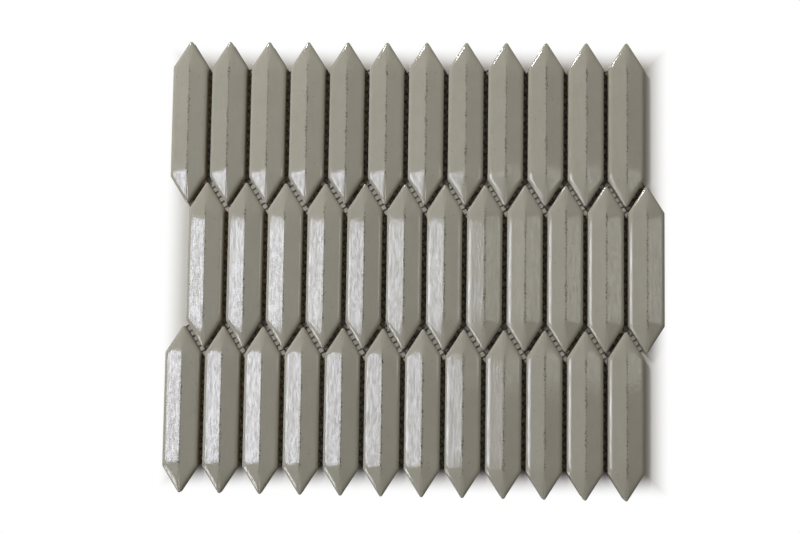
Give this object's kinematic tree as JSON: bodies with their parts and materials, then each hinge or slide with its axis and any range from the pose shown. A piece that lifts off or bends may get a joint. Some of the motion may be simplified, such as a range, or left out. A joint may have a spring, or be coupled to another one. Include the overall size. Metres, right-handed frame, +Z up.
{
  "type": "picket mosaic tile sheet",
  "caption": "Mosaic sheet of glazed greige picket tiles, each a long hexagon with a raised ridge and pointed ends, in offset rows on a backing net, for walls.",
  "frame": {"origin": "middle of the net's underside, on the surface that the sheet lies on", "axes": "+X along the rows, +Y along the tiles, +Z up out of the glazed face"},
  "size_m": [0.3098, 0.2838, 0.0085],
  "materials": {
    "glaze": "gloss",
    "net": "matte"
  },
  "bodies": {
    "root": {"backing_net": "net", "picket_r1_c01": "glaze", "picket_r1_c02": "glaze", "picket_r1_c03": "glaze", "picket_r1_c04": "glaze", "picket_r1_c05": "glaze", "picket_r1_c06": "glaze", "picket_r1_c07": "glaze", "picket_r1_c08": "glaze", "picket_r1_c09": "glaze", "picket_r1_c10": "glaze", "picket_r1_c11": "glaze", "picket_r1_c12": "glaze", "picket_r2_c01": "glaze", "picket_r2_c02": "glaze", "picket_r2_c03": "glaze", "picket_r2_c04": "glaze", "picket_r2_c05": "glaze", "picket_r2_c06": "glaze", "picket_r2_c07": "glaze", "picket_r2_c08": "glaze", "picket_r2_c09": "glaze", "picket_r2_c10": "glaze", "picket_r2_c11": "glaze", "picket_r2_c12": "glaze", "picket_r3_c01": "glaze", "picket_r3_c02": "glaze", "picket_r3_c03": "glaze", "picket_r3_c04": "glaze", "picket_r3_c05": "glaze", "picket_r3_c06": "glaze", "picket_r3_c07": "glaze", "picket_r3_c08": "glaze", "picket_r3_c09": "glaze", "picket_r3_c10": "glaze", "picket_r3_c11": "glaze", "picket_r3_c12": "glaze"}
  },
  "joints": []
}
